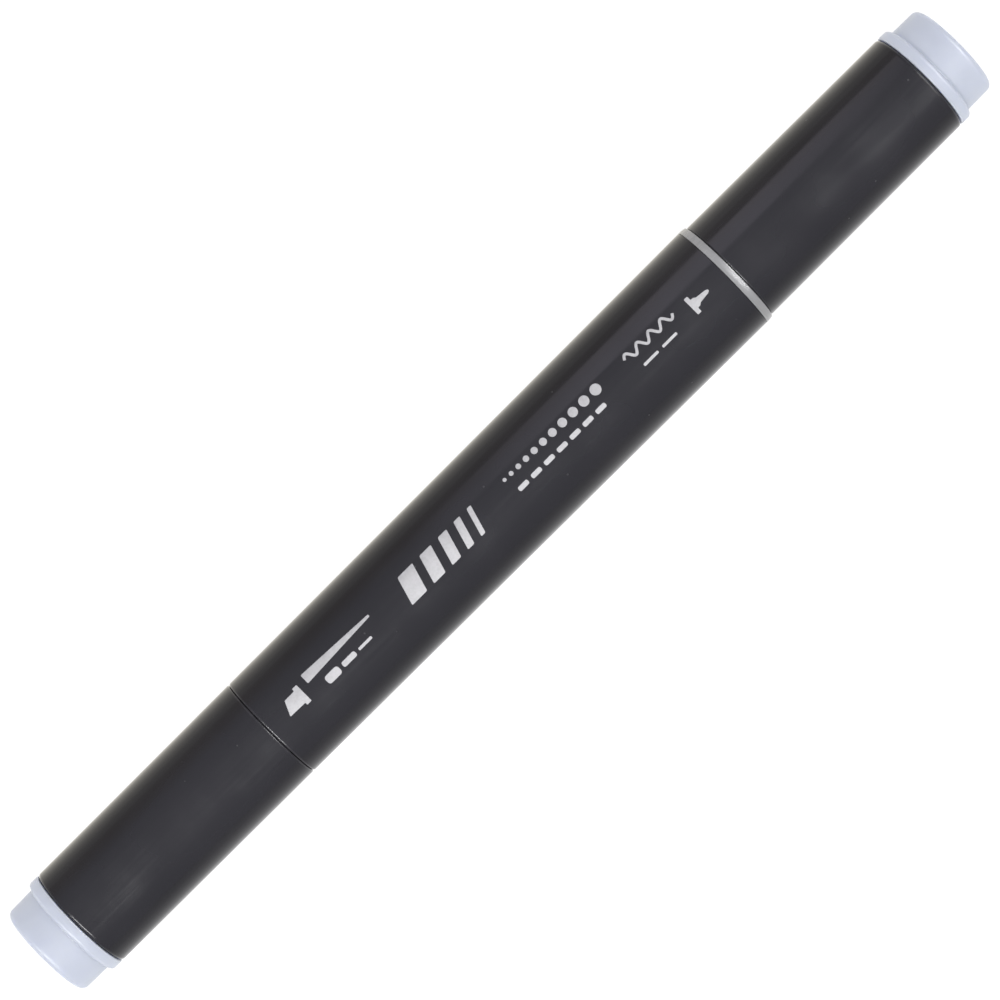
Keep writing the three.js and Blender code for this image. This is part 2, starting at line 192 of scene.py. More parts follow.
# ---- Meshes ----
def rounded(corners, closed=True):
    """Rounds a profile's corners. Each corner is (radius, station, rounding), and a rounding of 0
    leaves it sharp. Two corners on a short side share its length in proportion to their roundings.
    Two more points close to each arc keep the shading of the flats flat."""
    usable = 0.96  # share of a side that its roundings may take
    profile = []
    count = len(corners)
    for i, (radius, station, rounding) in enumerate(corners):
        here = Vector((radius, station))
        if not rounding or (not closed and i in (0, count - 1)):
            profile.append(here)
            continue
        *last, last_rounding = corners[i - 1]
        *following, next_rounding = corners[(i + 1) % count]
        before = Vector(last) - here
        after = Vector(following) - here
        half = before.angle(after) / 2
        room_before = usable * before.length * rounding / (rounding + last_rounding)
        room_after = usable * after.length * rounding / (rounding + next_rounding)
        reach = min(rounding / math.tan(half), room_before, room_after)
        size = reach * math.tan(half)
        middle = here + (before.normalized() + after.normalized()).normalized() * size / math.sin(half)
        start = here + before.normalized() * reach
        finish = here + after.normalized() * reach
        margin = min(0.25 * size, 0.02 * before.length, 0.02 * after.length)
        profile.append(start + before.normalized() * margin)
        spoke = start - middle
        sweep = math.atan2(spoke.cross(finish - middle), spoke.dot(finish - middle))
        for step in range(ARC_STEPS + 1):
            angle = sweep * step / ARC_STEPS
            along = spoke.x * math.cos(angle) - spoke.y * math.sin(angle)
            up = spoke.x * math.sin(angle) + spoke.y * math.cos(angle)
            profile.append(middle + Vector((along, up)))
        profile.append(finish + after.normalized() * margin)
    return profile


def turned(name, corners, closed=True):
    """Sweeps a profile round the marker's axis. It runs towards +X on the outside."""
    profile = rounded(corners, closed)
    mesh = bmesh.new()
    rings = []
    for radius, station in profile:
        if radius < 1e-6:
            rings.append([mesh.verts.new((station * MM, 0, AXIS_HEIGHT * MM))])
            continue
        ring = []
        for turn in range(TURNS):
            angle = 2 * math.pi * turn / TURNS
            across = radius * math.sin(angle)
            up = AXIS_HEIGHT - radius * math.cos(angle)
            ring.append(mesh.verts.new((station * MM, across * MM, up * MM)))
        rings.append(ring)
    pairs = list(zip(rings, rings[1:]))
    if closed:
        pairs.append((rings[-1], rings[0]))
    for first, second in pairs:
        for turn in range(TURNS):
            after = (turn + 1) % TURNS
            corner_list = [first[turn % len(first)], first[after % len(first)]]
            corner_list += [second[after % len(second)], second[turn % len(second)]]
            corner_list = list(dict.fromkeys(corner_list))  # a ring on the axis is a single point
            if len(corner_list) > 2:
                mesh.faces.new(corner_list)
    return finished(name, mesh)


def finished(name, mesh):
    """Turns a bmesh into an object with smooth faces and crisp edges."""
    bmesh.ops.recalc_face_normals(mesh, faces=mesh.faces)
    for face in mesh.faces:
        face.smooth = True
    for edge in mesh.edges:
        edge.smooth = edge.is_manifold and edge.calc_face_angle(0) < SHARP
    data = bpy.data.meshes.new(name)
    mesh.to_mesh(data)
    mesh.free()
    piece = bpy.data.objects.new(name, data)
    bpy.context.collection.objects.link(piece)
    return piece


def at_end(end, corners):
    """Stations of a profile that is written as distances out from a cap's shoulder."""
    if end == "fine":
        return [(radius, SHOULDER + out, rounding) for radius, out, rounding in corners]
    return [(radius, -SHOULDER - out, rounding) for radius, out, rounding in reversed(corners)]


def dress(piece, body, look, node=None):
    """Gives a piece its material, its body and its slot, and lets it stand for a CAD node."""
    piece.data.materials.append(look)
    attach(piece, body)
    if node:
        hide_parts(node)


# ---- Materials ----
class NodeWeb:
    """A node tree, with short ways to add texture and arithmetic nodes to it."""

    def __init__(self, tree):
        self.nodes = tree.nodes
        self.links = tree.links

    def feed(self, socket, value):
        """Links another node's output to a socket, or sets a plain value or colour on it."""
        if isinstance(value, bpy.types.NodeSocket):
            self.links.new(value, socket)
        elif isinstance(value, tuple) and socket.type == "RGBA":
            socket.default_value = (*value, 1)
        else:
            socket.default_value = value

    def ramp(self, source, *stops):
        """Colours at places from 0 to 1, in rising order."""
        ramp = self.nodes.new("ShaderNodeValToRGB")
        elements = ramp.color_ramp.elements
        while len(elements) < len(stops):
            elements.new(0.5)
        for element, (place, color) in zip(elements, stops):
            element.position = place
            element.color = (*color, 1)
        self.links.new(source, ramp.inputs["Fac"])
        return ramp.outputs["Color"]

    def spread(self, source, low, high, start=0.3, stop=0.7):
        """Values from low to high as the source goes from start to stop."""
        spread = self.nodes.new("ShaderNodeMapRange")
        for socket, value in (("From Min", start), ("From Max", stop), ("To Min", low), ("To Max", high)):
            spread.inputs[socket].default_value = value
        self.links.new(source, spread.inputs["Value"])
        return spread.outputs["Result"]

    def mix(self, factor, first, second, blend="MIX"):
        """The first colour or value at factor 0 and the second at factor 1, or their blend."""
        mix = self.nodes.new("ShaderNodeMix")
        mix.data_type = "RGBA"
        mix.blend_type = blend
        for socket, value in (("Factor", factor), ("A", first), ("B", second)):
            self.feed(next(i for i in mix.inputs if i.name == socket and i.enabled), value)
        return next(o for o in mix.outputs if o.enabled)

    def math(self, operation, *values):
        step = self.nodes.new("ShaderNodeMath")
        step.operation = operation
        for socket, value in zip(step.inputs, values):
            self.feed(socket, value)
        return step.outputs["Value"]

    def along(self, vector, direction):
        """How far a vector reaches in a direction."""
        step = self.nodes.new("ShaderNodeVectorMath")
        step.operation = "DOT_PRODUCT"
        self.links.new(vector, step.inputs[0])
        step.inputs[1].default_value = direction
        return step.outputs["Value"]


class Look(NodeWeb):
    """A material with a Principled shader."""

    def __init__(self, name, **sockets):
        self.material = bpy.data.materials.new(name)
        self.material.use_nodes = True
        super().__init__(self.material.node_tree)
        self.shader = self.nodes["Principled BSDF"]
        for socket, value in sockets.items():
            self.shader.inputs[socket.replace("_", " ")].default_value = value
        self.place = self.nodes.new("ShaderNodeTexCoord").outputs["Object"]
        self.last_bump = None

    def noise(self, scale, detail=2.0, stretch=(1, 1, 1), roughness=0.5):
        """Noise with a number of features per metre, drawn out by stretching the space."""
        mapping = self.nodes.new("ShaderNodeMapping")
        mapping.inputs["Scale"].default_value = stretch
        texture = self.nodes.new("ShaderNodeTexNoise")
        texture.inputs["Scale"].default_value = scale
        texture.inputs["Detail"].default_value = detail
        texture.inputs["Roughness"].default_value = roughness
        self.links.new(self.place, mapping.inputs["Vector"])
        self.links.new(mapping.outputs["Vector"], texture.inputs["Vector"])
        return texture.outputs["Fac"]

    def specks(self, scale, size):
        """1 on scattered dots and 0 elsewhere. The dots' size is a share of the room each has."""
        cells = self.nodes.new("ShaderNodeTexVoronoi")
        cells.inputs["Scale"].default_value = scale
        self.links.new(self.place, cells.inputs["Vector"])
        return self.spread(cells.outputs["Distance"], 1, 0, 0.6 * size, size)

    def color(self, source):
        self.links.new(source, self.shader.inputs["Base Color"])

    def roughness(self, source):
        self.links.new(source, self.shader.inputs["Roughness"])

    def bump(self, source, height_mm):
        """Adds relief of about that height. Each call adds to the relief before it."""
        bump = self.nodes.new("ShaderNodeBump")
        bump.inputs["Strength"].default_value = 1.0
        bump.inputs["Distance"].default_value = height_mm * MM
        self.links.new(source, bump.inputs["Height"])
        if self.last_bump:
            self.links.new(self.last_bump, bump.inputs["Normal"])
        self.last_bump = bump.outputs["Normal"]
        self.links.new(self.last_bump, self.shader.inputs["Normal"])


def moulded_look(name, dark, light, roughness, relief=1.0, **sockets):
    """Moulded plastic: slow shade changes, a fine orange peel, faint draw lines along the mould and
    hairline handling scratches, with more or less relief. Returns the look with its colour, for more
    to be added."""
    slow, handled, peel, drawn, hairline = 55, 140, 420, 800, 2600  # features per metre
    look = Look(name, **sockets)
    shade = look.ramp(look.noise(slow, 3), (0.3, dark), (0.7, light))
    scratches = look.noise(hairline, 2, stretch=(0.03, 1, 1))
    wear = look.mix(0.35, look.noise(handled, 4), scratches)
    gloss = look.spread(wear, roughness - 0.04, roughness + 0.07, 0.35, 0.68)
    look.color(shade)
    look.roughness(gloss)
    look.bump(look.noise(peel, 1), 0.004 * relief)
    look.bump(look.noise(drawn, 2, stretch=(0.02, 1, 1)), 0.003 * relief)
    look.bump(scratches, 0.0007 * relief)
    return look, shade


def black_plastic():
    """Glossy black with a few specks of dust. It is paler in bands along its rims, partly from handling
    rubbing them and partly as a painted highlight that stands for the glints on the rims.
    """
    dark, light = (0.0095, 0.0089, 0.0118), (0.0135, 0.0128, 0.0162)
    # the rim colour is rubbed wear together with a painted highlight; the dust colour is real dust
    worn_and_highlit, dust = (0.045, 0.044, 0.047), (0.05, 0.05, 0.051)
    look, shade = moulded_look("black_plastic", dark, light, roughness=0.14, relief=0.8, IOR=1.46)
    station = look.math("ABSOLUTE", look.along(look.place, (1, 0, 0)))
    core, faded = 0.1 * MM, 0.35 * MM  # half-widths of a rim band of rubbing and painted highlight
    # paler bands at the rims: partly rubbing wear, partly a painted highlight of the rims' glints
    rubbed_and_highlit = 0
    for rim in (SHOULDER, CAP_TOP):
        apart = look.math("ABSOLUTE", look.math("SUBTRACT", station, rim * MM))
        band = look.spread(apart, 1, 0, core, faded)
        rubbed_and_highlit = look.math("MAXIMUM", band, rubbed_and_highlit)
    rubbed_and_highlit = look.math("MULTIPLY", rubbed_and_highlit, look.spread(look.noise(900, 3), 0.3, 1.0))
    shade = look.mix(rubbed_and_highlit, shade, worn_and_highlit)
    specks = look.specks(scale=290, size=0.042)
    look.color(look.mix(specks, shade, dust))
    return look.material


def grey_plastic():
    """Satin grey, for the ring and the noses."""
    dark, light = (0.265, 0.265, 0.257), (0.305, 0.305, 0.296)
    look, _ = moulded_look("grey_plastic", dark, light, roughness=0.24, relief=0.3, IOR=1.6)
    return look.material


def tinted_plastic():
    """The pale plastic of the end plugs, which shows the ink's colour and lets some light in."""
    look, _ = moulded_look(
        "tinted_plastic",
        (0.558, 0.594, 0.655),
        (0.588, 0.624, 0.685),
        roughness=0.38,
        Specular_IOR_Level=0.09,
        Subsurface_Weight=0.5,
        Subsurface_Radius=(1.0, 1.0, 1.2),
        Subsurface_Scale=0.0015,
    )
    return look.material


def natural_plastic():
    """Uncoloured milky plastic, for the inner caps."""
    look, _ = moulded_look(
        "natural_plastic",
        (0.72, 0.73, 0.72),
        (0.80, 0.81, 0.79),
        roughness=0.42,
        Subsurface_Weight=0.5,
        Subsurface_Radius=(1.0, 1.0, 1.0),
        Subsurface_Scale=0.002,
    )
    return look.material


def felt(name, dark, light):
    """Pressed fibre: mottled by ink, with fibres that run along the nib."""
    look = Look(name, Sheen_Weight=0.25, Sheen_Roughness=0.6, Specular_IOR_Level=0.25)
    fibres = look.noise(5200, 4, stretch=(0.12, 1, 1), roughness=0.65)
    mottle = look.mix(0.5, look.noise(420, 3), fibres)
    look.color(look.ramp(mottle, (0.36, dark), (0.62, light)))
    look.roughness(look.spread(fibres, 0.8, 0.97))
    look.bump(look.noise(900, 3), 0.05)
    look.bump(fibres, 0.045)
    return look.material


def clear_film():
    """The slightly creased film round the fibre."""
    look = Look("clear_film", Transmission_Weight=0.85, IOR=1.45)
    look.color(look.ramp(look.noise(90, 2), (0.35, (0.80, 0.83, 0.88)), (0.65, (0.88, 0.90, 0.93))))
    look.roughness(look.spread(look.noise(300, 3), 0.08, 0.22))
    look.bump(look.noise(160, 2, stretch=(0.3, 1, 1)), 0.02)
    return look.material


def print_ink():
    """Screen-printed ink: light grey, slightly uneven in cover and with a soft tooth."""
    thin, full = (0.37, 0.365, 0.362), (0.425, 0.42, 0.418)
    look = Look("print_ink", Specular_IOR_Level=0.4)
    cover = look.mix(0.5, look.noise(900, 3), look.noise(3600, 2))
    look.color(look.ramp(cover, (0.34, thin), (0.6, full)))
    look.roughness(look.spread(cover, 0.45, 0.6))
    look.bump(cover, 0.006)
    return look.material


# ---- Barrel and its print ----
def neck(direction):
    """The outside of a neck with its snap bead, from the shoulder out. The chisel end's stations
    fall on the way out, so its direction is -1."""
    bead_end = BEAD_START + BEAD_LENGTH
    outwards = [
        (NECK_RADIUS, 0, FINE_EDGE),
        (NECK_RADIUS, BEAD_START - BEAD_SLOPE, EDGE),
        (BEAD_RADIUS, BEAD_START, EDGE),
        (BEAD_RADIUS, bead_end, EDGE),
        (NECK_RADIUS, bead_end + BEAD_SLOPE, EDGE),
    ]
    placed = [(radius, direction * (SHOULDER + out), rounding) for radius, out, rounding in outwards]
    return placed if direction > 0 else placed[::-1]


def barrel(look):
    """A tapered tube, open at the ring end, that steps down to a neck at the chisel end."""
    neck_end = -SHOULDER - NECK_LENGTH
    ledge = -SHOULDER + LEDGE_DEPTH
    ring_end = SHOULDER - RING_WIDTH
    piece = turned(
        "barrel_shell",
        [
            (NECK_BORE, neck_end, FINE_EDGE),
            (NECK_RADIUS, neck_end, SOFT_EDGE),
            *neck(-1),
            (BARREL_RADIUS_CHISEL, -SHOULDER, RIM),
            (BARREL_RADIUS_FINE, ring_end, CRISP_EDGE),
            (RESERVOIR_BORE, ring_end, FINE_EDGE),
            (RESERVOIR_BORE, ledge + LEDGE_SLOPE, SOFT_EDGE),
            (NECK_BORE, ledge, SOFT_EDGE),
        ],
    )
    dress(piece, "barrel", look, "barrel")


def barrel_radius(station):
    """Outer radius of the tapered barrel."""
    length = 2 * SHOULDER - RING_WIDTH
    share = (station + SHOULDER) / length
    return BARREL_RADIUS_CHISEL + (BARREL_RADIUS_FINE - BARREL_RADIUS_CHISEL) * share


PRINT_PROUD = 0.02  # how far the ink film stands out of the barrel
PRINT_SUNK = 0.02  # and how far it reaches into the barrel
PRINT_STEP = 0.4  # widest flat strip of ink round the barrel
LOWER_LINE = -0.75  # middle of the lower row of small marks
UPPER_LINE = 1.25  # and of the upper row


def printed(name, outlines, look):
    """Lays flat outlines of (station, distance round the barrel) on the barrel as one ink film."""
    mesh = bmesh.new()
    for outline in outlines:
        points = [mesh.verts.new((station, across, 0)) for station, across in outline]
        mesh.faces.new(points)
    across_all = [point.co.y for point in mesh.verts]
    cut = math.ceil(min(across_all) / PRINT_STEP) * PRINT_STEP
    while cut < max(across_all):
        everything = mesh.verts[:] + mesh.edges[:] + mesh.faces[:]
        bmesh.ops.bisect_plane(mesh, geom=everything, plane_co=(0, cut, 0), plane_no=(0, 1, 0))
        cut += PRINT_STEP
    strips = mesh.faces[:]
    rims = [edge for edge in mesh.edges if edge.is_boundary]
    above = {point: mesh.verts.new(point.co) for point in mesh.verts[:]}
    raised = set(above.values())
    for strip in strips:
        mesh.faces.new([above[point] for point in strip.verts])
    for rim in rims:
        first, second = rim.verts
        mesh.faces.new([first, second, above[second], above[first]])
    for point in mesh.verts:
        station, across, _ = point.co
        surface = barrel_radius(station)
        radius = surface + (PRINT_PROUD if point in raised else -PRINT_SUNK)
        angle = across / surface
        point.co.x = station * MM
        point.co.y = radius * math.sin(angle) * MM
        point.co.z = (AXIS_HEIGHT + radius * math.cos(angle)) * MM
    dress(finished(name, mesh), "barrel", look)


def rounded_outline(corners, rounding, steps=4):
    """A flat outline with every corner rounded."""
    outline = []
    count = len(corners)
    for i, corner in enumerate(corners):
        here = Vector(corner)
        before = Vector(corners[i - 1]) - here
        after = Vector(corners[(i + 1) % count]) - here
        reach = min(rounding, 0.45 * before.length, 0.45 * after.length)
        for step in range(steps + 1):
            share = step / steps
            start = here + before.normalized() * reach * (1 - share)
            finish = here + after.normalized() * reach * share
            point = start.lerp(finish, share)
            outline.append((point.x, point.y))
    return outline


def disc(station, across, radius, steps=24):
    """A round dot."""
    angles = [2 * math.pi * step / steps for step in range(steps)]
    return [(station + radius * math.cos(a), across + radius * math.sin(a)) for a in angles]


def slanted_bar(station, width, low, high, lean):
    """A bar across the barrel whose top leans towards the fine end."""
    return rounded_outline(
        [(station, low), (station + width, low), (station + width + lean, high), (station + lean, high)],
        rounding=0.18,
    )


def level_bar(station, length, middle, width):
    """A bar along the barrel."""
    low, high = middle - width / 2, middle + width / 2
    corners = [(station, low), (station + length, low), (station + length, high), (station, high)]
    return rounded_outline(corners, rounding=0.4 * width)


def wedge_mark():
    """A stroke that goes from broad to thin, as a chisel nib draws it, over three line weights."""
    broad, thin = -30.7, -20.2
    stroke = [(broad, 0.62), (thin, 1.1), (thin, 1.4), (broad, 1.9)]
    outlines = [rounded_outline(stroke, rounding=0.15)]
    start, length, pitch = -29.0, 2.1, 2.6
    for width in (1.1, 0.7, 0.35):
        outlines.append(level_bar(start, length, LOWER_LINE, width))
        start += pitch
    return outlines


def wave_mark():
    """A thin wavy line, as a fine nib draws it, over two thin dashes."""
    start, length, waves, reach, half = 21.5, 7.7, 4, 0.5, 0.17
    steps = 72
    above, below = [], []
    for step in range(steps + 1):
        phase = 2 * math.pi * waves * step / steps
        station = start + length * step / steps
        across = UPPER_LINE + reach * math.sin(phase)
        slope = reach * math.cos(phase) * 2 * math.pi * waves / length
        side = Vector((-slope, 1)).normalized() * half
        above.append((station + side.x, across + side.y))
        below.append((station - side.x, across - side.y))
    dashes = [level_bar(dash, 2.3, LOWER_LINE, 2 * half) for dash in (22.7, 25.7)]
    return [below + above[::-1], *dashes]


def hatch_mark():
    """Five leaning strokes, from broad to narrow: the marker's bold mark."""
    outlines = []
    start, gap = -15.8, 1.15
    low, high, lean = -1.5, 2.0, 1.0
    for width in (2.4, 1.85, 1.4, 1.0, 0.65):
        outlines.append(slanted_bar(start, width, low, high, lean))
        start += width + gap
    return outlines


def scale_mark():
    """A row of dots that grow along it, over a broken line."""
    outlines = []
    start, gap = 1.7, 0.54
    smallest, growth = 0.24, 0.046
    for size in range(11):
        radius = smallest + growth * size
        outlines.append(disc(start + radius, UPPER_LINE, radius))
        start += 2 * radius + gap
    dash_start, pitch, length, width = 2.3, 2.1, 1.5, 0.6
    for dash in range(7):
        outlines.append(level_bar(dash_start + pitch * dash, length, LOWER_LINE, width))
    return outlines


def chisel_sign():
    """A chisel nib in its collar, pointing to the chisel end."""
    corners = [(-31.8, 1.47), (-32.5, 1.47), (-32.5, 1.12), (-34.05, 1.1), (-34.85, -0.68)]
    corners += [(-32.5, -0.74), (-32.5, -1.08), (-31.8, -1.08)]
    return [rounded_outline(corners, rounding=0.1, steps=3)]


def fine_sign():
    """A fine nib in its stepped collar, pointing to the fine end."""
    middle = 0.19
    half = [(31.25, 1.2), (31.8, 1.2), (31.8, 0.62), (32.2, 0.6), (32.42, 0.4), (33.8, 0.24), (34.08, 0.1)]
    corners = [(station, middle + reach) for station, reach in half]
    corners += [(station, middle - reach) for station, reach in reversed(half)]
    return [rounded_outline(corners, rounding=0.12, steps=3)]


def barrel_print(look):
    """Every mark on the barrel, in generic shapes, from the chisel end to the fine end."""
    marks = {
        "chisel_sign": chisel_sign(),
        "wedge_mark": wedge_mark(),
        "hatch_mark": hatch_mark(),
        "scale_mark": scale_mark(),
        "wave_mark": wave_mark(),
        "fine_sign": fine_sign(),
    }
    for name, outlines in marks.items():
        printed(f"print_{name}", outlines, look)


# ---- Ink reservoir ----
def reservoir(fibre_look, film_look):
    """The fibre rod, with a socket for each nib's tail, and the film round it."""
    chisel_socket = math.hypot(CHISEL_WIDTH, CHISEL_THICKNESS) / 2 + SOCKET_GAP
    fine_socket = FINE_RADIUS + SOCKET_GAP
    fibre = turned(
        "fibre_rod",
        [
            (0, RESERVOIR_START + SOCKET_DEPTH, 0),
            (chisel_socket, RESERVOIR_START + SOCKET_DEPTH, SOFT_EDGE),
            (chisel_socket, RESERVOIR_START, SOFT_EDGE),
            (FIBRE_RADIUS, RESERVOIR_START, FULL_EDGE),
            (FIBRE_RADIUS, RESERVOIR_END, FULL_EDGE),
            (fine_socket, RESERVOIR_END, SOFT_EDGE),
            (fine_socket, RESERVOIR_END - SOCKET_DEPTH, SOFT_EDGE),
            (0, RESERVOIR_END - SOCKET_DEPTH, 0),
        ],
        closed=False,
    )
    dress(fibre, "barrel", fibre_look, "reservoir_fibre")
    inner = FIBRE_RADIUS + PRESS_GAP
    outer = inner + FILM_WALL
    film = turned(
        "film_sleeve",
        [
            (inner, RESERVOIR_START, CRISP_EDGE),
            (outer, RESERVOIR_START, CRISP_EDGE),
            (outer, RESERVOIR_END, CRISP_EDGE),
            (inner, RESERVOIR_END, CRISP_EDGE),
        ],
    )
    dress(film, "barrel", film_look, "reservoir_film")


# ---- Chisel end ----
def chisel_outline(width, thickness, corner, steps=5):
    """Points round a bar's rounded-rectangle section, as (across, up)."""
    half_width = width / 2 - corner
    half_thickness = thickness / 2 - corner
    points = []
    for quarter, (side, top) in enumerate([(1, 1), (-1, 1), (-1, -1), (1, -1)]):
        for step in range(steps + 1):
            angle = math.radians(90 * quarter + 90 * step / steps)
            across = side * half_width + corner * math.cos(angle)
            points.append((across, top * half_thickness + corner * math.sin(angle)))
    return points


def chisel_nib(look):
    """A felt bar lofted from its square tail to its slanted, bevelled edge."""
    slope = CHISEL_SLANT / CHISEL_WIDTH
    middle_tip = -SHOULDER - CHISEL_TIP + CHISEL_SLANT / 2
    tip_round = 0.5
    depths = [tip_round * share for share in (0, 0.1, 0.3, 0.6, 1)]
    depths += [CHISEL_BEVEL * share for share in (0.25, 0.5, 0.75, 0.97, 1.0, 1.03)]
    depths += [10, 16, 22, 28]  # along the straight bar
    mesh = bmesh.new()
    rings = []
    for depth in depths:
        thickness = CHISEL_EDGE + (CHISEL_THICKNESS - CHISEL_EDGE) * min(depth / CHISEL_BEVEL, 1)
        blunt = tip_round - math.sqrt(max(0, tip_round**2 - (tip_round - min(depth, tip_round)) ** 2))
        section = chisel_outline(CHISEL_WIDTH - 2 * blunt, thickness - 1.6 * blunt, CHISEL_CORNER)
        ring = []
        for across, up in section:
            station = middle_tip + depth + slope * across
            ring.append(mesh.verts.new((station * MM, across * MM, (AXIS_HEIGHT + up) * MM)))
        rings.append(ring)
    square = chisel_outline(CHISEL_WIDTH, CHISEL_THICKNESS, CHISEL_CORNER)
    rings.append([mesh.verts.new((CHISEL_TAIL * MM, a * MM, (AXIS_HEIGHT + u) * MM)) for a, u in square])
    count = len(rings[0])
    for first, second in zip(rings, rings[1:]):
        for i in range(count):
            j = (i + 1) % count
            mesh.faces.new([first[i], first[j], second[j], second[i]])
    mesh.faces.new(rings[0])
    mesh.faces.new(rings[-1])
    dress(finished("chisel_nib_felt", mesh), "barrel", look, "chisel_nib")


def chisel_section(look):
    """The nose. Its slot is as long as the nose, so it is a ring of walls round the nib."""
    spigot = NECK_BORE - PRESS_GAP
    flange = NECK_LENGTH + PRESS_GAP
    slot = chisel_outline(
        CHISEL_WIDTH + 2 * PRESS_GAP,
        CHISEL_THICKNESS + 2 * PRESS_GAP,
        corner=0.4,
        steps=8,
    )
    clear = slot_reach(slot)
    outside = rounded(
        at_end(
            "chisel",
            [
                (clear, -CHISEL_SPIGOT, 0),
                (spigot, -CHISEL_SPIGOT, LEAD_IN),
                (spigot, flange, CLOSE_EDGE),
                (NECK_RADIUS, flange, FINE_EDGE),
                (NECK_RADIUS, COLLAR_LENGTH, FULL_EDGE),
                (SEAL_RADIUS, COLLAR_LENGTH, EDGE),
                (SEAL_RADIUS, SEAL_END, BROAD_EDGE),
                (CHISEL_NOSE_FOOT, SEAL_END + CHISEL_TAPER, CHISEL_NOSE_ROUNDING),
                (CHISEL_NOSE_RADIUS, CHISEL_NOSE_END, CHISEL_NOSE_ROUNDING),
                (clear, CHISEL_NOSE_END, 0),
            ],
        ),
        closed=False,
    )
    mesh = bmesh.new()
    rings = []
    directions = [2 * math.pi * turn / TURNS for turn in range(TURNS)]
    for station in (outside[-1].y, outside[0].y):
        rings.append([(station, *slot_point(slot, angle)) for angle in directions])
    for radius, station in outside:
        rings.append([(station, radius * math.cos(a), radius * math.sin(a)) for a in directions])
    made = [
        [mesh.verts.new((s * MM, a * MM, (AXIS_HEIGHT + u) * MM)) for s, a, u in ring] for ring in rings
    ]
    for first, second in zip(made, made[1:] + made[:1]):
        for turn in range(TURNS):
            after = (turn + 1) % TURNS
            mesh.faces.new([first[turn], first[after], second[after], second[turn]])
    dress(finished("chisel_nose", mesh), "barrel", look, "chisel_section")


def slot_reach(slot):
    """Radius that just clears the slot's corners."""
    clearance = 0.05
    return max(math.hypot(across, up) for across, up in slot) + clearance


def slot_point(slot, angle):
    """Where a ray from the axis meets the slot's outline."""
    ray = Vector((math.cos(angle), math.sin(angle)))
    for first, second in zip(slot, slot[1:] + slot[:1]):
        a, b = Vector(first), Vector(second)
        edge = b - a
        spread = ray.x * edge.y - ray.y * edge.x
        if abs(spread) < 1e-9:
            continue
        along_ray = (a.x * edge.y - a.y * edge.x) / spread
        along_edge = (a.x * ray.y - a.y * ray.x) / spread
        if along_ray > 0 and -1e-6 <= along_edge <= 1 + 1e-6:
            return ray.x * along_ray, ray.y * along_ray
    raise ValueError("the slot's outline doesn't close round the axis")


# ---- Fine end ----
def fine_section(look):
    """The grey ring, the neck and the nose of the fine end, in one moulding."""
    spigot = RESERVOIR_BORE - PRESS_GAP
    spigot_bore = spigot - FINE_SPIGOT_WALL
    spigot_end = -RING_WIDTH - FINE_SPIGOT
    ring_inner = -RING_WIDTH + PRESS_GAP
    bore = FINE_RADIUS + PRESS_GAP
    piece = turned(
        "fine_nose",
        [
            *at_end(
                "fine",
                [
                    (spigot_bore, spigot_end, FINE_EDGE),
                    (spigot, spigot_end, LEAD_IN),
                    (spigot, ring_inner, CRISP_EDGE),
                    (BARREL_RADIUS_FINE, ring_inner, CRISP_EDGE),
                    (BARREL_RADIUS_FINE, -RING_SLOPE, RING_BEND),
                    (BARREL_RADIUS_FINE - RING_DROP, 0, BROAD_EDGE),
                ],
            ),
            *neck(1),
            *at_end(
                "fine",
                [
                    (NECK_RADIUS, COLLAR_LENGTH, FULL_EDGE),
                    (SEAL_RADIUS, COLLAR_LENGTH, EDGE),
                    (SEAL_RADIUS, SEAL_END, FINE_CONE_FOOT_ROUNDING),
                    (FINE_CONE_RADIUS, FINE_CONE_END, BROAD_EDGE),
                    (FINE_TUBE_FOOT, FINE_TUBE_START, EDGE),
                    (FINE_TUBE_RADIUS, FINE_NOSE_END, FULL_EDGE),
                    (bore, FINE_NOSE_END, FINE_LIP),
                    (bore, FINE_GRIP_START, FINE_EDGE),
                    (spigot_bore, FINE_CAVITY_END, SOFT_EDGE),
                ],
            ),
        ],
    )
    dress(piece, "barrel", look, "fine_section")


def fine_nib(look):
    """A straight felt rod with a coned, round-ended point."""
    tail = FINE_TAIL - SHOULDER
    piece = turned(
        "fine_nib_felt",
        at_end(
            "fine",
            [
                (0, tail, 0),
                (FINE_RADIUS, tail, EDGE),
                (FINE_RADIUS, FINE_NOSE_END + FINE_SHANK, BROAD_EDGE),
                (FINE_POINT_RADIUS, FINE_TIP, FINE_POINT_ROUNDING),
                (0, FINE_TIP, 0),
            ],
        ),
        closed=False,
    )
    dress(piece, "barrel", look, "fine_nib")


# ---- Caps ----
def cap_shell(end, look):
    """The black tube, open at both ends, with the ledge inside that stops the inner cap."""
    land_start = CAP_LEDGE_START + CAP_LEDGE_STEP
    land_end = land_start + CAP_LEDGE_STEP
    piece = turned(
        f"{end}_cap_tube",
        at_end(
            end,
            [
                (CAP_BORE, SEAM, FINE_EDGE),
                (CAP_RADIUS_MOUTH, SEAM, RIM),
                (CAP_RADIUS_TOP, OUT_TOP, TOP_RIM),
                (CAP_UPPER_BORE, OUT_TOP, FINE_EDGE),
                (CAP_UPPER_BORE, land_end, FINE_EDGE),
                (CAP_LEDGE_RADIUS, land_end, FINE_EDGE),
                (CAP_LEDGE_RADIUS, land_start, SOFT_EDGE),
                (CAP_BORE, CAP_LEDGE_START, BROAD_EDGE),
            ],
        ),
    )
    dress(piece, f"{end}_cap", look, f"{end}_cap_shell")


